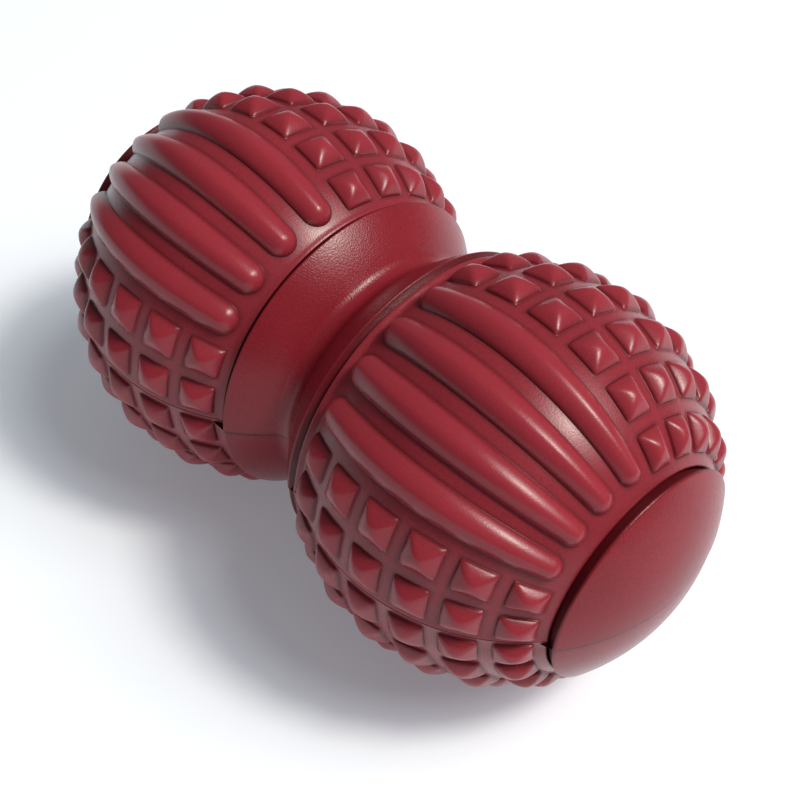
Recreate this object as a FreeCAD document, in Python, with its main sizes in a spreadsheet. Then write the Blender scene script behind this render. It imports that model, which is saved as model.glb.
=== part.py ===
"""Peanut massage roller: two studded, ribbed balls on one waisted core.

The roller's long axis is X, +Z is up, and the origin is on the surface that the
roller rests on, under its middle. Six pieces:

    core_upper_half, core_lower_half      rigid hollow peanut with a smooth neck and
                                          end domes, closed by pins in sockets
    left/right_sleeve_upper/lower_half    textured elastomer half rings, bonded
                                          into the core's two seats

A latitude is measured about a ball's own centre, from its widest ring (0) towards
the end dome (positive) or the neck (negative).
"""

import FreeCAD, Part
import os
import Sketcher
from FreeCAD import Vector

# Driving dimensions: millimetres, degrees and counts.
DIMENSIONS = {
    # the two balls
    "envelope_radius": 45.0,     # over the tips of studs and ribs
    "base_radius": 42.6,         # floor of the channels between the studs
    "ball_centre": 36.8,         # from the roller's middle to a ball's centre
    # neck and end domes
    "waist_fillet": 3.2,         # concave radius where the two flanks meet
    "lip_latitude": -35.9,       # crest of the neck's lip, on the envelope
    "dome_latitude": 55.2,       # rim of the end dome
    "dome_radius": 44.7,
    # core shell
    "seat_radius": 39.6,         # the sleeves are bonded to this
    "seat_bore_radius": 36.2,    # inside, under the seat
    "rim_bore_radius": 41.4,     # inside, under the neck flanks and the end domes
    "lip_backing": 4.2,          # latitude between a seat's wall and the bore's step
    # bulkheads and the pins that locate the two core halves
    "bulkhead_offset": 15.0,     # from the ball's centre, along the roller
    "bulkhead_thickness": 2.6,
    "bulkhead_bore": 14.0,
    "bulkhead_root": 0.4,        # how far a bulkhead is sunk in the shell
    "boss_radius": 4.5,
    "boss_height": 12.0,
    "boss_spread": 23.0,         # from the roller's axis
    "pin_radius": 2.5,
    "pin_length": 5.0,
    "pin_clearance": 0.08,
    "socket_depth": 5.6,
    # sleeves
    "bond_film": 0.1,
    "sleeve_neck_latitude": -34.95,
    "sleeve_dome_latitude": 53.95,
    "sleeve_slip": 0.65,         # both sleeves sit this far towards +X in their seats
    "column_pitch": 15.0,        # 24 columns of texture to the turn
    "first_row": -26.45,         # latitude of the stud row beside the neck
    "row_pitch": 14.3,
    "stud_span": 11.0,           # latitude that one stud covers
    "stud_turn": 11.2,           # part of the turn that a stud covers
    "stud_crown": 0.22,          # width of a stud's top over its foot
    "stud_root": 0.7,            # how far a stud or rib is sunk in the sleeve
    "rib_top": 44.9,
    "rib_turn": 10.5,
    "rib_neck_latitude": -26.95, # where the rib's round ends are centred
    "rib_dome_latitude": 45.75,
    # how the pieces are turned about the roller's axis
    "core_clocking": 1.8,        # the core's parting plane dips this much at the front
}
STUD_ROWS = 6
COLUMNS = 12                     # of studs and ribs on half a sleeve, from back to front
RIB_COLUMNS = range(6, 10)
RIB_SECTIONS = 5                 # that a rib is lofted through
RIGHT, LEFT = 1, -1
UPPER, LOWER = 0, 180            # turn about the roller's axis

SLACK = 1e-3                     # what rounding may leave, in mm
SHEET = "Dimensions"
DOC = FreeCAD.newDocument("massage_roller")


def fill_sheet():
    """Write the driving dimensions, one named cell each."""
    sheet = DOC.addObject("Spreadsheet::Sheet", SHEET)
    for row, (name, number) in enumerate(DIMENSIONS.items(), start=1):
        sheet.set(f"A{row}", name)
        sheet.set(f"B{row}", str(number))
        sheet.setAlias(f"B{row}", name)
    DOC.recompute()


def dim(name):
    """The expression that reads one cell."""
    return f"{SHEET}.{name}"


def number(expression):
    """What an expression comes to."""
    found = DOC.getObject(SHEET).evalExpression(expression.replace(f"{SHEET}.", ""))
    return float(getattr(found, "Value", found))


def on_ball(radius, latitude, side=RIGHT):
    """Expressions for the point at a radius and latitude about a ball's centre."""
    along = f"({dim('ball_centre')} + ({radius}) * sin({latitude})) * {side}"
    return along, f"({radius}) * cos({latitude})"


# ---------------------------------------------------------------- bodies and sketches

def new_body(name):
    body = DOC.addObject("PartDesign::Body", name)
    body.Label = name
    return body


def origin_feature(body, role):
    """One of the body's own planes or axes, by its role."""
    return next(item for item in body.Origin.OriginFeatures if item.Role == role)


def add_feature(body, kind, name, profile=None):
    """A feature in the body, with the sketch that it is made from hidden."""
    feature = body.newObject(f"PartDesign::{kind}", name)
    feature.Refine = False
    if profile is not None:
        feature.Profile = profile
        profile.Visibility = False
    return feature


def new_sketch(body, name, offset=None):
    """A sketch on the body's XY plane, moved by an attachment expression if given."""
    sketch = body.newObject("Sketcher::SketchObject", name)
    sketch.AttachmentSupport = (origin_feature(body, "XY_Plane"), [""])
    sketch.MapMode = "FlatFace"
    if offset:
        sketch.setExpression("AttachmentOffset", offset)
    return sketch


def bind(sketch, kind, where, expression):
    """A dimension constraint that follows an expression."""
    index = sketch.addConstraint(Sketcher.Constraint(kind, *where, number(expression)))
    sketch.setExpression(f"Constraints[{index}]", expression)


def pin_point(sketch, geometry, end, along, out):
    """Hold a point at X = along, Y = out from the sketch's origin, either of any sign."""
    origin = (-1, 1)
    for kind, axis, expression in (("DistanceX", -2, along), ("DistanceY", -1, out)):
        reach = number(expression)
        if abs(reach) < SLACK:
            sketch.addConstraint(Sketcher.Constraint("PointOnObject", geometry, end, axis))
        elif reach > 0:
            bind(sketch, kind, (*origin, geometry, end), expression)
        else:
            bind(sketch, kind, (geometry, end, *origin), f"-({expression})")


def draw_outline(sketch, corners, arcs):
    """A closed outline through corners. arcs maps an edge's number to its arc's centre
    expressions and whether it runs counter-clockwise; the other edges are straight."""
    places = [Vector(number(along), number(out), 0) for along, out in corners]
    count = len(corners)
    ends = []
    for edge in range(count):
        start, finish = places[edge], places[(edge + 1) % count]
        if edge not in arcs:
            sketch.addGeometry(Part.LineSegment(start, finish))
            ends.append((1, 2))
            continue
        (along, out), turns_left = arcs[edge]
        centre = Vector(number(along), number(out), 0)
        first, last = (start, finish) if turns_left else (finish, start)
        circle = Part.Circle(centre, Vector(0, 0, 1), (start - centre).Length)
        sketch.addGeometry(Part.ArcOfCircle(circle, circle.parameter(first), circle.parameter(last)))
        ends.append((1, 2) if turns_left else (2, 1))
    for edge in range(count):
        after = (edge + 1) % count
        joint = (edge, ends[edge][1], after, ends[after][0])
        sketch.addConstraint(Sketcher.Constraint("Coincident", *joint))
    for edge, (along, out) in enumerate(corners):
        pin_point(sketch, edge, ends[edge][0], along, out)
    for edge, ((along, out), _) in arcs.items():
        start_along, start_out = corners[edge]
        radius = f"sqrt(({start_along} - ({along}))^2 + ({start_out} - ({out}))^2)"
        bind(sketch, "Radius", (edge,), radius)


def half_turn(body, name, sketch):
    """Revolve an outline half a turn about X, over the +Z side."""
    turn = add_feature(body, "Revolution", name, sketch)
    turn.ReferenceAxis = (sketch, ["H_Axis"])
    turn.Angle = 180
    DOC.recompute()
    if turn.Shape.BoundBox.ZMin < -SLACK:
        turn.Reversed = True
        DOC.recompute()
    return turn


def place_in_roller(body, turn, clocking="0"):
    """Turn a finished half about the roller's axis, and lift it off the floor."""
    lift = f"{dim('envelope_radius')} * cos({dim('column_pitch')} / 2) + {stud_crown_overhang()}"
    body.setExpression("Placement", f"placement(vector(0; 0; {lift}); rotationx({turn} + {clocking}))")


# ---------------------------------------------------------------- core

def core_outline(sketch):
    """One end of the core's wall, from the waist to the tip of the end dome."""
    reach = f"({dim('envelope_radius')} + {dim('waist_fillet')})"
    fillet_centre = f"sqrt({reach}^2 - {dim('ball_centre')}^2)"
    share = f"{dim('envelope_radius')} / {reach}"
    inner_step = f"({dim('lip_latitude')} - {dim('lip_backing')})"
    outer_step = f"({dim('dome_latitude')} + {dim('lip_backing')})"
    middle_bore = f"sqrt({dim('rim_bore_radius')}^2 - {dim('ball_centre')}^2)"
    ball = (dim("ball_centre"), "0")
    corners = [
        ("0", f"{fillet_centre} - {dim('waist_fillet')}"),
        (f"{dim('ball_centre')} * (1 - {share})", f"{fillet_centre} * {share}"),
        on_ball(dim("envelope_radius"), dim("lip_latitude")),
        on_ball(dim("seat_radius"), dim("lip_latitude")),
        on_ball(dim("seat_radius"), dim("dome_latitude")),
        on_ball(dim("dome_radius"), dim("dome_latitude")),
        (f"{dim('ball_centre')} + {dim('dome_radius')}", "0"),
        (f"{dim('ball_centre')} + {dim('rim_bore_radius')}", "0"),
        on_ball(dim("rim_bore_radius"), outer_step),
        on_ball(dim("seat_bore_radius"), outer_step),
        on_ball(dim("seat_bore_radius"), inner_step),
        on_ball(dim("rim_bore_radius"), inner_step),
        ("0", middle_bore),
    ]
    arcs = {
        0: (("0", fillet_centre), True),
        1: (ball, False),
        3: (ball, False),
        5: (ball, False),
        7: (ball, True),
        9: (ball, True),
        11: (ball, True),
    }
    draw_outline(sketch, corners, arcs)


def add_bulkhead(body, name, offset):
    """A half disc across the shell, bored through the middle."""
    sketch = new_sketch(body, f"{name}_outline")
    middle = f"({dim('ball_centre')} + {offset})"
    half = f"{dim('bulkhead_thickness')} / 2"
    bore = f"sqrt({dim('seat_bore_radius')}^2 - ({dim('bulkhead_offset')} + {half})^2)"
    low, high = f"{middle} - {half}", f"{middle} + {half}"
    rim = f"{bore} + {dim('bulkhead_root')} + {half}"
    foot = dim("bulkhead_bore")
    draw_outline(sketch, [(low, foot), (high, foot), (high, rim), (low, rim)], {})
    return half_turn(body, name, sketch)


def add_cylinder(body, kind, name, radius, height, place):
    """A vertical cylinder, added or cut, from its lowest point."""
    cylinder = add_feature(body, kind, name)
    cylinder.setExpression("Radius", radius)
    cylinder.setExpression("Height", height)
    cylinder.setExpression("Placement", f"placement(vector({'; '.join(place)}); rotationx(0))")
    return cylinder


def core_half(name, turn):
    """Half of the hollow core: shell, bulkheads, and pins (upper) or sockets (lower)."""
    body = new_body(name)
    outline = new_sketch(body, f"{name}_shell_outline")
    core_outline(outline)
    features = [half_turn(body, f"{name}_shell", outline)]
    for label, sign in (("inner", -1), ("outer", 1)):
        offset = f"{sign} * {dim('bulkhead_offset')}"
        features.append(add_bulkhead(body, f"{name}_{label}_bulkhead", offset))
        for edge in (-1, 1):
            spot = f"{name}_{label}_{'front' if edge < 0 else 'back'}"
            along = f"{dim('ball_centre')} + {offset}"
            out = f"{edge} * {dim('boss_spread')}"
            boss = add_cylinder(body, "AdditiveCylinder", f"{spot}_boss",
                                dim("boss_radius"), dim("boss_height"), (along, out, "0"))
            if turn == UPPER:
                fitting = add_cylinder(body, "AdditiveCylinder", f"{spot}_pin",
                                       dim("pin_radius"), f"2 * {dim('pin_length')}",
                                       (along, out, f"-{dim('pin_length')}"))
            else:
                fitting = add_cylinder(body, "SubtractiveCylinder", f"{spot}_socket",
                                       f"{dim('pin_radius')} + {dim('pin_clearance')}",
                                       f"2 * {dim('socket_depth')}",
                                       (along, out, f"-{dim('socket_depth')}"))
            features += [boss, fitting]
    mirror = add_feature(body, "Mirrored", f"{name}_other_end")
    mirror.Originals = features
    mirror.MirrorPlane = (origin_feature(body, "YZ_Plane"), [""])
    body.Tip = mirror
    place_in_roller(body, turn, dim("core_clocking"))
    return body


# ---------------------------------------------------------------- sleeves

def slipped(latitude, side):
    """A sleeve's latitude once the sleeve has slipped towards +X."""
    return f"({latitude} + {side} * {dim('sleeve_slip')})"


def row_latitude(row, side):
    return slipped(f"{dim('first_row')} + {row} * {dim('row_pitch')}", side)


def column_turn(column):
    return f"(({column} + 0.5) * {dim('column_pitch')})"


def half_width(latitude, turn):
    """Half of a stud's or rib's width at its foot: columns narrow away from the ring."""
    return f"({dim('base_radius')} * cos({latitude}) * sin({dim(turn)} / 2))"


def stud_crown_overhang():
    """How far a crown's corner reaches below its middle, with two columns down."""
    half = half_width("0", "stud_turn")
    return f"{half} * {dim('stud_crown')} * sin({dim('column_pitch')} / 2)"


def add_stud(body, name, side, column, row):
    """A stud: a four-sided pyramid with its tip cut flat, standing on the sleeve."""
    latitude = row_latitude(row, side)
    across = half_width(latitude, "stud_turn")
    lengthwise = f"({dim('base_radius')} * sin({dim('stud_span')} / 2))"
    crown = dim("stud_crown")
    stud = add_feature(body, "AdditiveWedge", name)
    for edge, reach in (("X", lengthwise), ("Z", across)):
        stud.setExpression(f"{edge}min", f"-{reach}")
        stud.setExpression(f"{edge}max", reach)
        stud.setExpression(f"{edge}2min", f"-{reach} * {crown}")
        stud.setExpression(f"{edge}2max", f"{reach} * {crown}")
    stud.setExpression("Ymin", f"{dim('base_radius')} - {dim('stud_root')}")
    stud.setExpression("Ymax", dim("envelope_radius"))
    turn = f"rotationx({column_turn(column)}) * rotationz(-({side}) * {latitude})"
    stud.setExpression("Placement", f"placement(vector({dim('ball_centre')} * {side}; 0; 0); {turn})")


def rib_section(body, name, side, column, latitude, half=False):
    """A rib's round cross-section at one latitude, or half of it for a round end."""
    width = half_width(latitude, "rib_turn")
    foot = f"({dim('base_radius')} - {dim('stud_root')})"
    rise = f"({dim('rib_top')} - {foot})"
    radius = f"(({width}^2 + {rise}^2) / (2 * {rise}))"
    turn = f"rotationx({column_turn(column)}) * rotationz(-({side}) * {latitude}) * rotationy(-90)"
    offset = f"placement(vector({dim('ball_centre')} * {side}; 0; 0); {turn})"
    sketch = new_sketch(body, name, offset)
    corners = [(f"-{width}", foot), (width, foot)]
    arcs = {1: (("0", f"{dim('rib_top')} - {radius}"), True)}
    if half:
        corners = [("0", foot), (width, foot), ("0", dim("rib_top"))]
    draw_outline(sketch, corners, arcs)
    return sketch


def add_rib(body, name, side, column):
    """A rib along a meridian: lofted through its sections, and closed by round ends."""
    low, high = (slipped(dim(f"rib_{end}_latitude"), side) for end in ("neck", "dome"))
    sections = []
    for step in range(RIB_SECTIONS):
        latitude = f"({low} + ({high} - ({low})) * {step} / {RIB_SECTIONS - 1})"
        sections.append(rib_section(body, f"{name}_section_{step}", side, column, latitude))
    loft = add_feature(body, "AdditiveLoft", f"{name}_length", sections[0])
    loft.Sections = sections[1:]
    for end, latitude in (("neck", low), ("dome", high)):
        half = rib_section(body, f"{name}_{end}_half", side, column, latitude, half=True)
        cap = add_feature(body, "Revolution", f"{name}_{end}_end", half)
        cap.ReferenceAxis = (half, ["V_Axis"])
        cap.Angle = 360


def sleeve_half(name, side, turn):
    """Half of a textured ring: a curved shell with studs and ribs standing on it."""
    body = new_body(name)
    outline = new_sketch(body, f"{name}_shell_outline")
    inner = f"({dim('seat_radius')} + {dim('bond_film')})"
    low, high = (slipped(dim(f"sleeve_{end}_latitude"), side) for end in ("neck", "dome"))
    corners = [on_ball(dim("base_radius"), low, side), on_ball(dim("base_radius"), high, side),
               on_ball(inner, high, side), on_ball(inner, low, side)]
    ball = (f"{dim('ball_centre')} * {side}", "0")
    draw_outline(outline, corners, {0: (ball, side == LEFT), 2: (ball, side == RIGHT)})
    half_turn(body, f"{name}_shell", outline)
    for column in range(COLUMNS):
        if column in RIB_COLUMNS:
            add_rib(body, f"{name}_rib_{column}", side, column)
            continue
        for row in range(STUD_ROWS):
            add_stud(body, f"{name}_stud_{column}_{row}", side, column, row)
    place_in_roller(body, turn)
    return body


# ---------------------------------------------------------------- the whole roller

def check(parts):
    """Stop if anything in the document failed, or a piece isn't one sound solid."""
    failed = [item.Name for item in DOC.Objects if {"Invalid", "Error"} & set(item.State)]
    if failed:
        raise RuntimeError(f"features failed: {failed}")
    for part in parts:
        shape = part.Shape
        if shape.isNull() or not shape.isValid() or len(shape.Solids) != 1:
            raise RuntimeError(f"{part.Label} is not one valid solid")
        print(f"{part.Label}: {shape.Volume / 1000:.1f} cm3, z from {shape.BoundBox.ZMin:.3f}")


def main():
    fill_sheet()
    parts = [core_half("core_upper_half", UPPER), core_half("core_lower_half", LOWER)]
    for side_name, side in (("left", LEFT), ("right", RIGHT)):
        for half_name, turn in (("upper", UPPER), ("lower", LOWER)):
            parts.append(sleeve_half(f"{side_name}_sleeve_{half_name}_half", side, turn))
    DOC.recompute()
    check(parts)
    os.makedirs("parts", exist_ok=True)
    for part in parts:
        part.Shape.exportStep(f"parts/{part.Label}.step")


main()
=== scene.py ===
"""The looks of the peanut massage roller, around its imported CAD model."""

import math

import bmesh
import bpy
import numpy as np
from mathutils import Matrix, Vector


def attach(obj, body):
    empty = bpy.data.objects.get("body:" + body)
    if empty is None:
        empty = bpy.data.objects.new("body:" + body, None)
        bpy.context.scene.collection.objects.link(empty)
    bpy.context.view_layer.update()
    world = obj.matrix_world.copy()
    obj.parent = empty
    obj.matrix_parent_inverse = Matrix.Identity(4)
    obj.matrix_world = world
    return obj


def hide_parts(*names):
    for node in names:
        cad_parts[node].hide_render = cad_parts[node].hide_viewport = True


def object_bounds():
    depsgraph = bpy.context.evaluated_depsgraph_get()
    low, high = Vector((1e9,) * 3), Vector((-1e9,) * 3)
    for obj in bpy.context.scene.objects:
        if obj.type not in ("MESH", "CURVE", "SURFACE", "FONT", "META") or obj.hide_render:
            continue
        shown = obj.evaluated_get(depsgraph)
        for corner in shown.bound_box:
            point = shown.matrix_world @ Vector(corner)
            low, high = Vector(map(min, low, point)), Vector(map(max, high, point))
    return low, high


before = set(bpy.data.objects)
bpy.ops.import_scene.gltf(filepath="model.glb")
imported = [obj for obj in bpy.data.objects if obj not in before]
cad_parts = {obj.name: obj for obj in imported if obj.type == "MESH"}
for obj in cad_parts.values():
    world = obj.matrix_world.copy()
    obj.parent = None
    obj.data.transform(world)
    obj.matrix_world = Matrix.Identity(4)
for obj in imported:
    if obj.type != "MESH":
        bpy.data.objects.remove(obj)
cad_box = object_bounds()

MM = 0.001                        # lengths below are in millimetres, angles in degrees
RIGHT, LEFT = 1, -1
UPPER, LOWER = 0, 180             # turn about the roller's long axis

# ---------------------------------------------------------------- sizes shared with the CAD
ENVELOPE_RADIUS = 45.0
BASE_RADIUS = 42.6                # floor of the channels between the studs
DOME_RADIUS = 44.7
SEAT_RADIUS = 39.6
BORE_RADIUS = 36.2                # inside of the core, under the seats
RIM_BORE_RADIUS = 41.4            # inside of the core, under the neck and the domes
WAIST_FILLET = 3.2
LIP_LATITUDE = -35.9
DOME_LATITUDE = 55.2
LIP_BACKING = 4.2
BOND_FILM = 0.1
SLEEVE_NECK, SLEEVE_DOME = -34.95, 53.95
SLEEVE_SLIP = 0.65                # both sleeves sit this far towards +X in their seats
COLUMN_PITCH = 15.0
COLUMNS = 12
RIB_COLUMNS = (6, 7, 8, 9)
FIRST_ROW, ROW_PITCH, STUD_ROWS = -26.45, 14.3, 6
STUD_HALF_SPAN, STUD_HALF_TURN = 5.5, 5.6
RIB_HEIGHT, RIB_HALF_TURN = 2.3, 5.25
RIB_ENDS = (-26.95, 45.75)        # latitudes where a rib's round ends are centred
CORE_CLOCKING = 1.8
BALL_CENTRE = (cad_box[1][0] - cad_box[0][0]) / 2 / MM - DOME_RADIUS
AXIS_HEIGHT = (cad_box[0][2] + cad_box[1][2]) / 2 / MM

# ---------------------------------------------------------------- sizes of the finish
STUD_HEIGHT = 2.4
STUD_WALL = 0.30                  # height of the steep wall round a stud's foot
WALL_SHARE = 0.06                 # part of a stud's half width that the wall takes
STUD_TIP = 0.08                   # rounding of its tip, as a part of its half width
FACE_LINES, WALL_LINES, GAP_LINES = 9, 4, 4
GUARD_LINE = 1.015                # a line this far out keeps the floor flat up to a foot
NECK_RIM, DOME_RIM = 0.28, 0.45   # rounding of a sleeve's two rims
NECK_BEAD = {LEFT: 0.2, RIGHT: 1.25}              # height of the bead along a sleeve's neck rim
BEAD_TURN = 1.6                   # latitude that it covers
BEAD_LINES = 6
SEAM_EDGE = 0.18                  # rounding of a sleeve's parting edges
SEAM_GAP = 0.04                   # from each edge to the parting plane
SEAM_FACET = 7.0                  # the surface runs straight over this last turn to the seam
CORE_EDGE = 0.20                  # rounding of the core's parting edges
CORE_STEP = 0.22                  # the lower half of the core is this much smaller
CORE_FACET = 0.35                 # how strong its facet beside the seam is, against a sleeve's
LIP_EDGE, RIM_EDGE = 0.35, 0.55   # rounding of the core's neck lip and of its dome rim
SHADE_REACH = 0.7               # how far the painted shade in a corner spreads, in mm
SHADE_AT_FOOT = 0.6             # how strong the painted shade is at the feet of studs and ribs
NECK_RIM_SHADE = 0.4               # and over a sleeve's neck rim
SLEEVE_SEAM_SHADE = 0.6            # and along the sleeves' seams
LIP_WALL_SHADE = 0.8                    # and on the wall of the neck lip
SEAM_SHADE_REACH = {UPPER: 0.3, LOWER: 0.9}        # how far the painted shade spreads from the core's seam, in mm
ARC_STEPS = 5                     # steps round a rounded edge
SEAM_SHADE_PEAK = 1.2              # above 1, so that the painted shade is full right beside the core's seam

STUD_POWER = 2.5, 9, 1.4          # how square a stud is: at its tip, the rise to its foot, its curve
STUD_FACE_CURVE = 1.6             # 1 would give flat faces; more makes them bulge
STUD_FADE = 0.03                  # the face runs out over this last part of its half width
RIB_CURVE = 1.65, 0.72            # powers of a rib's round section
ROUND_END_FADE = 0.8              # part of the room past a rib's end in which the lines straighten

# ---------------------------------------------------------------- how fine the grids are
SEAM_LINES = (0, 0.1, 0.3, 0.6, 1.0, 3.0)         # lines beside a sleeve's seam, in SEAM_EDGEs
DOME_LINES = 4                    # lines from the last row of studs to the dome rim
SEAT_LINES = 12                   # lines over a sleeve's inside
CORE_SEAM_TURNS = (0, 0.12, 0.25, 0.4, 0.6, 0.9, 1.4)
CORE_FIRST_TURN, CORE_TURNS = 2.2, 112            # the even lines between the two seams
FILLET_STEPS, FLANK_STEPS, SEAT_STEPS, DOME_STEPS = 12, 60, 14, 70
NECK_BORE_STEPS, BORE_STEPS, DOME_BORE_STEPS = 8, 24, 12
MERGE_DISTANCE = 1e-7             # points closer than this are one, in metres

DEGREE = math.degrees(1 / BASE_RADIUS)            # latitude or turn that covers 1 mm on a sleeve
NECK_FLAT = SLEEVE_NECK + NECK_RIM * DEGREE       # where a sleeve's rims start to round off
DOME_FLAT = SLEEVE_DOME - DOME_RIM * DEGREE


def smooth(x):
    """An even S-shaped step from 0 to 1."""
    x = np.clip(x, 0, 1)
    return x * x * (3 - 2 * x)


# ---------------------------------------------------------------- meshes from grids

def mesh_object(name, points, quads, triangles):
    """A smooth mesh object from points in metres and index arrays."""
    mesh = bpy.data.meshes.new(name)
    mesh.vertices.add(len(points))
    mesh.vertices.foreach_set("co", np.asarray(points, np.float32).ravel())
    loops = np.concatenate([np.ravel(quads), np.ravel(triangles)]).astype(np.int32)
    sizes = np.concatenate([np.full(len(quads), 4), np.full(len(triangles), 3)])
    mesh.loops.add(len(loops))
    mesh.loops.foreach_set("vertex_index", loops)
    mesh.polygons.add(len(sizes))
    mesh.polygons.foreach_set("loop_start", (np.cumsum(sizes) - sizes).astype(np.int32))
    mesh.polygons.foreach_set("use_smooth", np.ones(len(sizes), bool))
    mesh.update(calc_edges=True)
    mesh.validate()
    piece = bpy.data.objects.new(name, mesh)
    bpy.context.scene.collection.objects.link(piece)
    return piece


def grid_quads(rows, columns, closed):
    """Quads over a rows x columns grid of points; closed joins the last row to the first."""
    first = np.arange(rows if closed else rows - 1)[:, None]
    after = (first + 1) % rows
    left = np.arange(columns - 1)[None, :]
    corners = [first * columns + left, first * columns + left + 1,
               after * columns + left + 1, after * columns + left]
    shape = len(first), columns - 1
    return np.stack([np.broadcast_to(corner, shape) for corner in corners], -1).reshape(-1, 4)


def zip_strip(one, other):
    """Triangles that fill the strip between two chains of points, given as indices."""
    triangles = []
    last_i, last_j = len(one) - 1, len(other) - 1
    i = j = 0
    while i < last_i or j < last_j:
        one_is_behind = i < last_i and (i + 1) * last_j <= (j + 1) * last_i
        if j == last_j or one_is_behind:
            triangles.append((one[i], other[j], one[i + 1]))
            i += 1
        else:
            triangles.append((one[i], other[j], other[j + 1]))
            j += 1
    return np.array(triangles)


def end_caps(outer_chain, inner_chain, stations):
    """Triangles that close the first and the last station of a half, between two chains of rows."""
    caps = []
    for station in (0, stations - 1):
        strip = zip_strip(outer_chain * stations + station, inner_chain * stations + station)
        first, second, third = strip.T
        caps.append(strip[(first != second) & (second != third) & (first != third)])
    return np.concatenate(caps)


def face_outwards(piece):
    """Merge points that coincide, and turn every face to the outside."""
    mesh = bmesh.new()
    mesh.from_mesh(piece.data)
    bmesh.ops.remove_doubles(mesh, verts=mesh.verts, dist=MERGE_DISTANCE)
    bmesh.ops.recalc_face_normals(mesh, faces=mesh.faces)
    mesh.to_mesh(piece.data)
    mesh.free()


def in_roller(latitude, turn, radius, side):
    """Points in metres from latitude, turn and radius about a ball's centre."""
    angle, lat = np.radians(turn), np.radians(latitude)
    along = side * (BALL_CENTRE + radius * np.sin(lat))
    out = radius * np.cos(lat)
    return np.stack([along, out * np.cos(angle), out * np.sin(angle) + AXIS_HEIGHT], -1) * MM


def store(piece, name, values):
    """Keep a number between 0 and 1 for each point, for the material to read."""
    layer = piece.data.attributes.new(name, "FLOAT", "POINT")
    layer.data.foreach_set("value", np.clip(values, 0, 1).astype(np.float32).ravel())


# ---------------------------------------------------------------- sleeves

def stud_lines():
    """Places of the grid's lines over one stud, from -1 to 1, close together at its foot."""
    face = np.linspace(0, 1 - WALL_SHARE, FACE_LINES + 1)[1:]
    wall = np.linspace(1 - WALL_SHARE, 1, WALL_LINES + 1)[1:]
    side = np.concatenate([face, wall, [GUARD_LINE]])
    return np.concatenate([-side[::-1], [0], side])


def lines_over(centres, half, start, finish):
    """All the lines in one direction: over the studs, across the gaps, and to both ends."""
    lines = list(start)
    for index, centre in enumerate(centres):
        over = centre + half * stud_lines()
        if index:
            lines += list(np.linspace(lines[-1], over[0], GAP_LINES + 1)[1:-1])
        lines += list(over)
    return np.array(lines + list(finish))


def fit_rib(lat, turn):
    """Bend the grid over a rib so that its lines follow the rib's round ends.
    Gives the new latitude and turn, and how far out each point is: 1 at the foot."""
    rows = FIRST_ROW, FIRST_ROW + ROW_PITCH * (STUD_ROWS - 1)
    reach = [math.degrees(math.cos(math.radians(end)) * math.sin(math.radians(RIB_HALF_TURN)))
             for end in RIB_ENDS]
    tips = RIB_ENDS[0] - reach[0], RIB_ENDS[1] + reach[1]
    known = [SLEEVE_NECK, rows[0] - STUD_HALF_SPAN, rows[0], rows[1], rows[1] + STUD_HALF_SPAN, SLEEVE_DOME]
    wanted = [SLEEVE_NECK, tips[0], RIB_ENDS[0], RIB_ENDS[1], tips[1], SLEEVE_DOME]
    new_lat = np.interp(lat, known, wanted)
    column = np.floor(turn / COLUMN_PITCH)
    middle = (column + 0.5) * COLUMN_PITCH
    s = (turn - middle) / STUD_HALF_TURN
    distance = np.abs(s)
    new_s = s.copy()
    edge = COLUMN_PITCH / 2 / STUD_HALF_TURN
    side_fade = 1 - smooth((np.abs(s) - 1) / (edge - 1))
    for end, sign in ((0, -1), (1, 1)):
        t = (new_lat - RIB_ENDS[end]) * sign / reach[end]
        room = abs((SLEEVE_NECK, SLEEVE_DOME)[end] - tips[end]) / reach[end]
        fade = side_fade * (1 - smooth((t - 1) / (room * ROUND_END_FADE)))
        s_in, t_in = np.clip(s, -1, 1), np.clip(t, 0, 1)
        shift_s = s_in * (np.sqrt(1 - t_in ** 2 / 2) - 1) * fade
        shift_t = t_in * (np.sqrt(1 - s_in ** 2 / 2) - 1) * fade
        beyond = t > 0
        new_s = np.where(beyond, s + shift_s, new_s)
        distance = np.where(beyond, np.hypot(s + shift_s, t + shift_t), distance)
        new_lat = np.where(beyond, RIB_ENDS[end] + sign * reach[end] * (t + shift_t), new_lat)
    across = np.interp(np.abs(new_s), [0, 1, edge], [0, RIB_HALF_TURN, COLUMN_PITCH / 2])
    return new_lat, middle + np.sign(new_s) * across, distance


def stud_height(u, v):
    """Height of a stud over its foot: a low pyramid with rounded ridges and a steep wall."""
    u, v = np.abs(u), np.abs(v)
    far = np.maximum(u, v)
    tip_power, rise, curve = STUD_POWER
    power = tip_power + rise * far ** curve
    m = (u ** power + v ** power + 1e-12) ** (1 / power)
    m_tip = (np.hypot(m, STUD_TIP) - STUD_TIP) / (math.hypot(1, STUD_TIP) - STUD_TIP)
    face = (STUD_HEIGHT - STUD_WALL) * (1 - m_tip ** STUD_FACE_CURVE)
    wall = STUD_WALL * smooth((1 - m) / WALL_SHARE)
    return np.where(m < 1, np.maximum(face, 0) * smooth((1 - m) / STUD_FADE) + wall, 0)


def rib_height(distance):
    """Height of a rib over its foot, by how far out from its crest a point is."""
    inner, outer = RIB_CURVE
    return RIB_HEIGHT * np.clip(1 - np.clip(distance, 0, 1) ** inner, 0, 1) ** outer


def bead(latitude, side):
    """The bead along a sleeve's neck rim: full at the rim, gone after BEAD_TURN."""
    return NECK_BEAD[side] * smooth((NECK_FLAT + BEAD_TURN - latitude) / BEAD_TURN)


def seam_radius(radius, turn):
    """Each half runs straight over its last few degrees, so the seam is a faint ridge."""
    short = np.clip(SEAM_FACET - np.minimum(turn, 180 - turn), 0, None)
    return radius / np.cos(np.radians(short))


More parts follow.
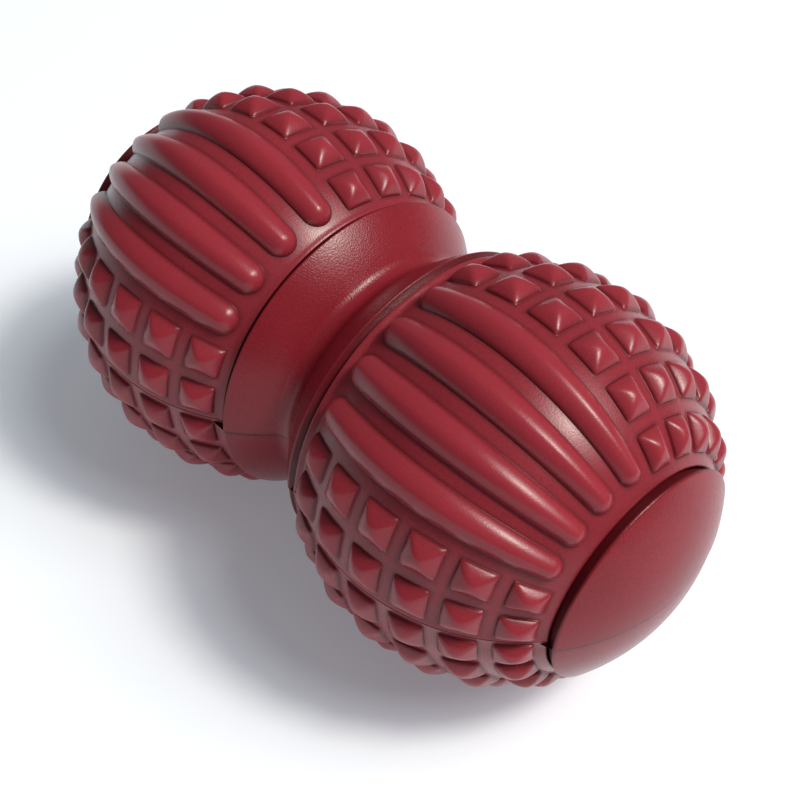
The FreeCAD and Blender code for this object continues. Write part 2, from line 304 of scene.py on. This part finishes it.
def sleeve_half(name, side, half):
    """One half ring of a grip sleeve, with its studs, ribs, rims and inside."""
    near_seam = (SEAM_GAP + SEAM_EDGE * np.array(SEAM_LINES)) * DEGREE
    turns = lines_over((np.arange(COLUMNS) + 0.5) * COLUMN_PITCH, STUD_HALF_TURN,
                       near_seam, 180 - near_seam[::-1])
    rows = FIRST_ROW + ROW_PITCH * np.arange(STUD_ROWS)
    lats = lines_over(rows, STUD_HALF_SPAN, np.linspace(NECK_FLAT, NECK_FLAT + BEAD_TURN, BEAD_LINES),
                      np.linspace(rows[-1] + STUD_HALF_SPAN, DOME_FLAT, DOME_LINES + 1)[1:])
    lat, turn = np.meshgrid(lats, turns, indexing="ij")

    column = np.clip(np.floor(turn / COLUMN_PITCH), 0, COLUMNS - 1)
    row = np.clip(np.round((lat - FIRST_ROW) / ROW_PITCH), 0, STUD_ROWS - 1).astype(int)
    u = (lat - rows[row]) / STUD_HALF_SPAN
    v = (turn - (column + 0.5) * COLUMN_PITCH) / STUD_HALF_TURN
    height = stud_height(u, v)
    out_of_foot = np.maximum(np.abs(u), np.abs(v))

    rib = np.isin(column, RIB_COLUMNS)
    rib_lat, rib_turn, distance = fit_rib(lat, turn)
    gap = (COLUMN_PITCH / 2 - STUD_HALF_TURN) * 2
    band = RIB_COLUMNS[0] * COLUMN_PITCH, (RIB_COLUMNS[-1] + 1) * COLUMN_PITCH
    outside = np.maximum(band[0] - turn, turn - band[1])
    share = 1 - smooth(outside / (gap / 2))
    lat = np.where(rib, rib_lat, lat)
    # lines shift back to the studs' rows over the gap beside the rib band
    mid_rib = np.array([(RIB_COLUMNS[0] + 0.5) * COLUMN_PITCH])
    feet = rows[:1] - STUD_HALF_SPAN, rows[-1:] + STUD_HALF_SPAN
    tips = [fit_rib(foot, mid_rib)[0][0] for foot in feet]
    known = [SLEEVE_NECK, feet[0][0], rows[0], rows[-1], feet[1][0], SLEEVE_DOME]
    wanted = [SLEEVE_NECK, tips[0], RIB_ENDS[0], RIB_ENDS[1], tips[1], SLEEVE_DOME]
    straight = np.interp(lats, known, wanted)
    shifted = lats[:, None] + (straight - lats)[:, None] * share
    lat = np.where(rib, lat, np.where(outside < gap / 2, shifted, lat))
    turn = np.where(rib, rib_turn, turn)
    height = np.where(rib, rib_height(distance), height)
    out_of_foot = np.where(rib, distance, out_of_foot)

    from_seam = np.radians(np.minimum(turns, 180 - turns)) * BASE_RADIUS - SEAM_GAP
    inset = np.clip(SEAM_EDGE - from_seam, 0, None)
    drop = SEAM_EDGE - np.sqrt(SEAM_EDGE ** 2 - inset ** 2)
    outer = seam_radius(BASE_RADIUS, turns)[None, :] - drop[None, :] + height + bead(lat, side)

    arcs = np.linspace(0, 90, ARC_STEPS + 1)[1:]
    inner = SEAT_RADIUS + BOND_FILM
    edge_lats, edge_radii = [], []
    for angle in arcs:
        edge_lats.append(DOME_FLAT + DOME_RIM * DEGREE * math.sin(math.radians(angle)))
        edge_radii.append(BASE_RADIUS - DOME_RIM * (1 - math.cos(math.radians(angle))))
    for latitude in np.linspace(SLEEVE_DOME, SLEEVE_NECK, SEAT_LINES):
        edge_lats.append(latitude)
        edge_radii.append(inner)
    for angle in arcs[::-1]:
        edge_lats.append(NECK_FLAT - NECK_RIM * DEGREE * math.sin(math.radians(angle)))
        edge_radii.append(BASE_RADIUS + NECK_BEAD[side] - NECK_RIM * (1 - math.cos(math.radians(angle))))
    edge_lats, edge_radii = np.array(edge_lats)[:, None], np.array(edge_radii)[:, None]
    lift = (seam_radius(BASE_RADIUS, turns) - BASE_RADIUS - drop)[None, :] * (edge_radii > inner)
    all_lat = np.concatenate([lat, np.broadcast_to(edge_lats, (len(edge_lats), len(turns)))])
    all_turn = np.concatenate([turn, np.broadcast_to(turns, (len(edge_lats), len(turns)))])
    all_radius = np.concatenate([outer, edge_radii + lift])
    points = in_roller(all_lat + side * SLEEVE_SLIP, all_turn + half, all_radius, side)
    count, stations = all_lat.shape
    quads = grid_quads(count, stations, closed=True)

    outer_chain = np.arange(len(lats) + ARC_STEPS)
    inner_chain = np.concatenate([[0], np.arange(count - 1, len(lats) + ARC_STEPS - 1, -1)])
    triangles = end_caps(outer_chain, inner_chain, stations)
    piece = mesh_object(name, points.reshape(-1, 3), quads, triangles)
    # painted shade at the feet of studs and ribs, along the seams and over both rims
    raised, painted_shade = np.zeros((count, stations)), np.ones((count, stations))
    raised[:len(lats)] = height / STUD_HEIGHT
    near_foot = np.abs(out_of_foot - 1) * STUD_HALF_TURN / DEGREE / SHADE_REACH
    painted_shade[:len(lats)] = SHADE_AT_FOOT * np.clip(1 - near_foot, 0, 1)
    seam_shade = SLEEVE_SEAM_SHADE * (1 - from_seam / SEAM_EDGE)
    painted_shade[:len(lats)] = np.maximum(painted_shade[:len(lats)], seam_shade[None, :])
    rim_lines = np.linspace(0, 1, ARC_STEPS + 1)[1:, None]
    painted_shade[len(lats):len(lats) + ARC_STEPS] = rim_lines
    painted_shade[-ARC_STEPS:] = NECK_RIM_SHADE * rim_lines[::-1]
    store(piece, "raised", raised)
    store(piece, "painted_shade", painted_shade)
    face_outwards(piece)
    return piece


# ---------------------------------------------------------------- core

def arc(centre, radius, start, finish, steps):
    """Points (along, out) on an arc about a centre; angles in degrees from +along."""
    angles = np.radians(np.linspace(start, finish, steps + 1))
    return [(centre[0] + radius * math.cos(a), centre[1] + radius * math.sin(a)) for a in angles]


def core_profile():
    """The outer and the inner outline of one end, from the waist to the axis, with the painted shade along
    the outer one.
    """
    reach = ENVELOPE_RADIUS + WAIST_FILLET
    fillet_out = math.sqrt(reach ** 2 - BALL_CENTRE ** 2)
    touch = math.degrees(math.atan2(-fillet_out, BALL_CENTRE))
    ball = (BALL_CENTRE, 0)
    degree = math.degrees(1 / ENVELOPE_RADIUS)
    lip = 90 - LIP_LATITUDE
    dome = 90 - DOME_LATITUDE
    outer = arc((0, fillet_out), WAIST_FILLET, -90, touch, FILLET_STEPS)
    outer += arc(ball, ENVELOPE_RADIUS, 180 + touch, lip + LIP_EDGE * degree, FLANK_STEPS)[1:]
    # painted shade along the outline: on the lip's wall, under the seats and over the dome rim
    painted_shade = [0] * len(outer)
    for a in np.linspace(0, 90, ARC_STEPS + 1)[1:]:
        angle = math.radians(lip + LIP_EDGE * degree * (1 - math.sin(math.radians(a))))
        radius = ENVELOPE_RADIUS - LIP_EDGE * (1 - math.cos(math.radians(a)))
        outer.append((BALL_CENTRE + radius * math.cos(angle), radius * math.sin(angle)))
        painted_shade.append(LIP_WALL_SHADE * a / 90)
    outer += arc(ball, SEAT_RADIUS, lip, dome, SEAT_STEPS)
    painted_shade += [1] * (SEAT_STEPS + 1)
    for a in np.linspace(90, 0, ARC_STEPS + 1):
        angle = math.radians(dome - RIM_EDGE * degree * (1 - math.sin(math.radians(a))))
        radius = DOME_RADIUS - RIM_EDGE * (1 - math.cos(math.radians(a)))
        outer.append((BALL_CENTRE + radius * math.cos(angle), radius * math.sin(angle)))
        painted_shade.append(a / 90)
    outer += arc(ball, DOME_RADIUS, dome - RIM_EDGE * degree, 0, DOME_STEPS)[1:]
    painted_shade += [0] * (len(outer) - len(painted_shade))
    inner_lip = 90 - (LIP_LATITUDE - LIP_BACKING)
    inner_dome = 90 - (DOME_LATITUDE + LIP_BACKING)
    waist_bore = math.degrees(math.acos(-BALL_CENTRE / RIM_BORE_RADIUS))
    inner = arc(ball, RIM_BORE_RADIUS, waist_bore, inner_lip, NECK_BORE_STEPS)
    inner += arc(ball, BORE_RADIUS, inner_lip, inner_dome, BORE_STEPS)
    inner += arc(ball, RIM_BORE_RADIUS, inner_dome, 0, DOME_BORE_STEPS)
    return np.array(outer), np.array(inner), np.array(painted_shade)


def core_half(name, half):
    """One half of the hollow core, over the whole length of the roller."""
    outer, inner, groove_shade = core_profile()
    outer, inner = (np.concatenate([chain[:0:-1] * (-1, 1), chain]) for chain in (outer, inner))
    groove_shade = np.concatenate([groove_shade[:0:-1], groove_shade])
    inner = inner[::-1]
    near = np.array(CORE_SEAM_TURNS)
    even = np.linspace(CORE_FIRST_TURN, 180 - CORE_FIRST_TURN, CORE_TURNS)
    turns = np.concatenate([near, even, 180 - near[::-1]])
    loop = np.concatenate([outer, inner])
    outside = (np.arange(len(loop)) < len(outer))[:, None]
    along, out = loop[:, 0][:, None], loop[:, 1][:, None]
    centre = np.sign(along) * BALL_CENTRE
    from_seam = out * np.sin(np.radians(turns))[None, :]
    inset = np.clip(CORE_EDGE - from_seam, 0, None)
    drop = CORE_EDGE - np.sqrt(CORE_EDGE ** 2 - inset ** 2) + (CORE_STEP if half == LOWER else 0)
    ball_radius = np.hypot(np.abs(along) - BALL_CENTRE, out)
    shrink = 1 - outside * drop / ball_radius
    grow = 1 + outside * CORE_FACET * (seam_radius(1.0, turns) - 1)[None, :]
    new_along = centre + (along - centre) * shrink
    new_out = out * shrink * grow
    angle = np.radians(turns + half + CORE_CLOCKING)[None, :]
    up = new_out * np.sin(angle) + AXIS_HEIGHT
    points = np.stack([new_along, new_out * np.cos(angle), up], -1) * MM
    count, stations = new_out.shape
    quads = grid_quads(count, stations, closed=False)
    outer_chain = np.arange(len(outer))
    inner_chain = np.arange(count - 1, len(outer) - 1, -1)
    triangles = end_caps(outer_chain, inner_chain, stations)
    # turned round, which also sets the diagonal that each of them is split along
    quads = quads[quads[:, 0] // stations != len(outer) - 1][:, ::-1]
    piece = mesh_object(name, points.reshape(-1, 3), quads, triangles)
    # painted shade beside the core's seam, wider on the lower half, and in its grooves
    seam_shade = (SEAM_SHADE_PEAK - from_seam / SEAM_SHADE_REACH[half]) * outside
    profile_shade = np.concatenate([groove_shade, np.ones(len(inner))])[:, None]
    store(piece, "painted_shade", np.maximum(profile_shade, seam_shade))
    store(piece, "raised", np.zeros((count, stations)))
    face_outwards(piece)
    return piece


# ---------------------------------------------------------------- materials

SLEEVE_COLOUR = 0.262, 0.022, 0.033
CORE_COLOUR = 0.232, 0.013, 0.022
SLEEVE_FINISH = 0.000014, 0.26, 0.32              # depth of its grain in metres, roughness, gloss
CORE_FINISH = 0.000034, 0.24, 0.28
PATCH_SCALE, SPECK_SCALE, GRAIN_SCALE, CELL_SCALE = 45, 2400, 3400, 2800
PATCH_RANGE = 0.3, 0.7            # the part of a noise that is spread from none to full
SPECK_RANGE = 0.35, 0.65
PATCH_SHADES = 0.86, 1.12         # a colour is scaled by these, from its dark to its light patches
PATCH_ROUGHNESS = -0.03, 0.04     # added to the roughness in the same patches
SPECK_SHARE, SPECK_SHADE = 0.35, 0.5
# high places painted lighter: rubbed wear and a painted highlight
WEAR_AND_HIGHLIGHT_FROM, WEAR_AND_HIGHLIGHT_SHARE, WEAR_AND_HIGHLIGHT_SHADE = 0.1, 0.5, 1.35
# painted shade: corners, feet, seams and grooves are darker, and rougher
SHADE_SHARE, SHADE_DARKNESS, CORNER_ROUGHNESS = 0.8, 0.2, 0.12
FLOOR_COLOURS = (0.83, 0.87, 0.93), (0.85, 0.89, 0.95)
FLOOR_CLOUDS = 3                  # scale of the floor's faint clouds
FLOOR_ROUGHNESS = 0.7
FLOOR_GLOW = 0.18                 # the floor glows by itself: painted light that lifts its shadows and lights the roller from below
FLOOR_GLOW_COLOUR = 0.86, 0.93, 1.0


def new_material(name):
    """A material with its nodes, links and shader."""
    material = bpy.data.materials.new(name)
    material.use_nodes = True
    nodes = material.node_tree.nodes
    shader = nodes["Principled BSDF"]
    return material, nodes, material.node_tree.links, shader


def noise(nodes, links, where, scale, detail=2.0, roughness=0.5):
    texture = nodes.new("ShaderNodeTexNoise")
    texture.inputs["Scale"].default_value = scale
    texture.inputs["Detail"].default_value = detail
    texture.inputs["Roughness"].default_value = roughness
    links.new(where, texture.inputs["Vector"])
    return texture.outputs["Fac"]


def ramp(nodes, links, value, low, high, to_low, to_high):
    node = nodes.new("ShaderNodeMapRange")
    node.inputs["From Min"].default_value = low
    node.inputs["From Max"].default_value = high
    node.inputs["To Min"].default_value = to_low
    node.inputs["To Max"].default_value = to_high
    links.new(value, node.inputs["Value"])
    return node.outputs["Result"]


def blend_colours(nodes, links, share, one, other):
    """A colour between two, each a plain colour or another node's output."""
    mix = nodes.new("ShaderNodeMix")
    mix.data_type = "RGBA"
    colours = [socket for socket in mix.inputs if socket.type == "RGBA"]
    for socket, colour in zip(colours, (one, other)):
        if isinstance(colour, tuple):
            socket.default_value = (*colour, 1)
        else:
            links.new(colour, socket)
    links.new(share, mix.inputs["Factor"])
    return next(socket for socket in mix.outputs if socket.type == "RGBA")


def add_up(nodes, links, one, other):
    node = nodes.new("ShaderNodeMath")
    node.operation = "ADD"
    links.new(one, node.inputs[0])
    links.new(other, node.inputs[1])
    return node.outputs[0]


def stored(nodes, name):
    """A number that the mesh keeps for each of its points."""
    node = nodes.new("ShaderNodeAttribute")
    node.attribute_name = name
    return node.outputs["Fac"]


def scaled_colour(colour, factor):
    return tuple(channel * factor for channel in colour)


def red_moulding(name, colour, grain_depth, roughness, gloss):
    """Dark red moulded plastic or rubber: a fine leathery grain, high places painted lighter
    as rubbed wear and a painted highlight, and duller corners with painted shade."""
    material, nodes, links, shader = new_material(name)
    place = nodes.new("ShaderNodeTexCoord").outputs["Object"]
    patches = noise(nodes, links, place, PATCH_SCALE, 4)
    specks = noise(nodes, links, place, SPECK_SCALE, 1)
    grains = noise(nodes, links, place, GRAIN_SCALE, 2, 0.6)
    cells = nodes.new("ShaderNodeTexVoronoi")
    cells.feature = "SMOOTH_F1"
    cells.inputs["Scale"].default_value = CELL_SCALE
    links.new(place, cells.inputs["Vector"])
    # the painted shade that each piece keeps for its corners, feet, seams and grooves
    painted_shade = stored(nodes, "painted_shade")

    patchy = blend_colours(nodes, links, ramp(nodes, links, patches, *PATCH_RANGE, 0, 1),
                           *(scaled_colour(colour, shade) for shade in PATCH_SHADES))
    speckled = blend_colours(nodes, links, ramp(nodes, links, specks, *SPECK_RANGE, 0, SPECK_SHARE),
                             patchy, scaled_colour(colour, SPECK_SHADE))
    # high places painted lighter, for rubbed wear and a painted highlight
    high_places = ramp(nodes, links, stored(nodes, "raised"), WEAR_AND_HIGHLIGHT_FROM, 1, 0, WEAR_AND_HIGHLIGHT_SHARE)
    worn_and_highlit = blend_colours(nodes, links, high_places, speckled, scaled_colour(colour, WEAR_AND_HIGHLIGHT_SHADE))
    # painted shade darkens the corners, feet, seams and grooves
    shaded = blend_colours(nodes, links, ramp(nodes, links, painted_shade, 0, 1, 0, SHADE_SHARE),
                          worn_and_highlit, scaled_colour(colour, SHADE_DARKNESS))
    links.new(shaded, shader.inputs["Base Color"])

    smoothest, roughest = (roughness + change for change in PATCH_ROUGHNESS)
    patchy_gloss = ramp(nodes, links, patches, *PATCH_RANGE, smoothest, roughest)
    dull_corners = ramp(nodes, links, painted_shade, 0, 1, 0, CORNER_ROUGHNESS)
    links.new(add_up(nodes, links, patchy_gloss, dull_corners), shader.inputs["Roughness"])
    shader.inputs["Specular IOR Level"].default_value = gloss

    bump = nodes.new("ShaderNodeBump")
    bump.inputs["Strength"].default_value = 1.0
    bump.inputs["Distance"].default_value = grain_depth
    links.new(add_up(nodes, links, grains, cells.outputs["Distance"]), bump.inputs["Height"])
    links.new(bump.outputs["Normal"], shader.inputs["Normal"])
    return material


def floor_material():
    material, nodes, links, shader = new_material("pale_floor")
    place = nodes.new("ShaderNodeTexCoord").outputs["Object"]
    clouds = noise(nodes, links, place, FLOOR_CLOUDS, 3)
    links.new(blend_colours(nodes, links, clouds, *FLOOR_COLOURS), shader.inputs["Base Color"])
    shader.inputs["Roughness"].default_value = FLOOR_ROUGHNESS
    shader.inputs["Emission Color"].default_value = (*FLOOR_GLOW_COLOUR, 1)
    shader.inputs["Emission Strength"].default_value = FLOOR_GLOW
    return material


# ---------------------------------------------------------------- pieces

sleeve_red = red_moulding("sleeve_elastomer_red", SLEEVE_COLOUR, *SLEEVE_FINISH)
core_red = red_moulding("core_plastic_red", CORE_COLOUR, *CORE_FINISH)

for side_name, side in (("left", LEFT), ("right", RIGHT)):
    for half_name, half in (("upper", UPPER), ("lower", LOWER)):
        node = f"{side_name}_sleeve_{half_name}_half"
        sleeve = sleeve_half(f"{side_name}_grip_{half_name}_half", side, half)
        sleeve.data.materials.append(sleeve_red)
        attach(sleeve, "root")
        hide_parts(node)

for half_name, half in (("upper", UPPER), ("lower", LOWER)):
    core = core_half(f"peanut_core_{half_name}_half", half)
    core.data.materials.append(core_red)
    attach(core, "root")
    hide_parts(f"core_{half_name}_half")


# ---------------------------------------------------------------- floor, light and camera

FLOOR_REACH = 3.0                 # from the middle to each side, in metres like all below
KEY_SIDE = 0.47, 0.22, 0.85       # the way to each light
PANEL_SIDE = 0.47, 0.26, 0.84
LIGHT_DISTANCE = 3.0
KEY_SIZE, KEY_POWER, KEY_COLOUR = 0.58, 44.0, (1.0, 0.93, 0.80)
PANEL_SIZE, PANEL_POWER, PANEL_COLOUR = 2.0, 60.0, (0.97, 0.99, 1.0)
BRIGHT_SIDE = 0.5, 0.6, 0.6       # the way to the bright side of the room
WORLD_COLOUR = 0.88, 0.94, 1.0
WORLD_STRENGTH = 0.09, 0.26       # on its dark and on its bright side
WORLD_RANGE = -0.5, 0.8           # how far towards the bright side these two are reached
CAMERA_PLACE = 0.16529, -0.16905, 0.28993
CAMERA_AIM = 0.00584, -0.00032, 0.04078
CAMERA_LENS, CAMERA_SENSOR = 70.35, 36            # in mm
CAMERA_ROLL = 3.897               # in degrees


def add_floor():
    size = FLOOR_REACH
    corners = [(-size, -size, 0), (size, -size, 0), (size, size, 0), (-size, size, 0)]
    mesh = bpy.data.meshes.new("floor")
    mesh.from_pydata(corners, [], [(0, 1, 2, 3)])
    floor = bpy.data.objects.new("floor", mesh)
    bpy.context.scene.collection.objects.link(floor)
    floor.data.materials.append(floor_material())


def add_area(name, direction, distance, size, power, colour):
    """A round area light that faces the middle of the roller."""
    light = bpy.data.lights.new(name, "AREA")
    light.shape = "DISK"
    light.size = size
    light.energy = power
    light.color = colour
    lamp = bpy.data.objects.new(name, light)
    bpy.context.scene.collection.objects.link(lamp)
    towards = Vector(direction).normalized()
    middle = Vector((0, 0, AXIS_HEIGHT * MM))
    lamp.location = middle + towards * distance
    lamp.rotation_euler = (-towards).to_track_quat("-Z", "Y").to_euler()


def add_world():
    world = bpy.data.worlds.new("studio")
    bpy.context.scene.world = world
    world.use_nodes = True
    nodes, links = world.node_tree.nodes, world.node_tree.links
    background = nodes["Background"]
    background.inputs["Color"].default_value = (*WORLD_COLOUR, 1)
    facing = nodes.new("ShaderNodeVectorMath")
    facing.operation = "DOT_PRODUCT"
    facing.inputs[1].default_value = Vector(BRIGHT_SIDE).normalized()
    links.new(nodes.new("ShaderNodeTexCoord").outputs["Generated"], facing.inputs[0])
    glow = ramp(nodes, links, facing.outputs["Value"], *WORLD_RANGE, *WORLD_STRENGTH)
    links.new(glow, background.inputs["Strength"])


def add_camera():
    camera = bpy.data.objects.new("camera", bpy.data.cameras.new("camera"))
    bpy.context.scene.collection.objects.link(camera)
    bpy.context.scene.camera = camera
    place = Vector(CAMERA_PLACE)
    aim = Vector(CAMERA_AIM)
    camera.data.lens = CAMERA_LENS
    camera.data.sensor_width = CAMERA_SENSOR
    turn = (aim - place).to_track_quat("-Z", "Y").to_matrix().to_4x4()
    roll = Matrix.Rotation(math.radians(CAMERA_ROLL), 4, "Z")
    camera.matrix_world = Matrix.Translation(place) @ turn @ roll


add_floor()
add_world()
add_area("key_softbox", KEY_SIDE, LIGHT_DISTANCE, KEY_SIZE, KEY_POWER, KEY_COLOUR)
add_area("wide_panel", PANEL_SIDE, LIGHT_DISTANCE, PANEL_SIZE, PANEL_POWER, PANEL_COLOUR)
add_camera()
bpy.context.scene.view_settings.view_transform = "Standard"
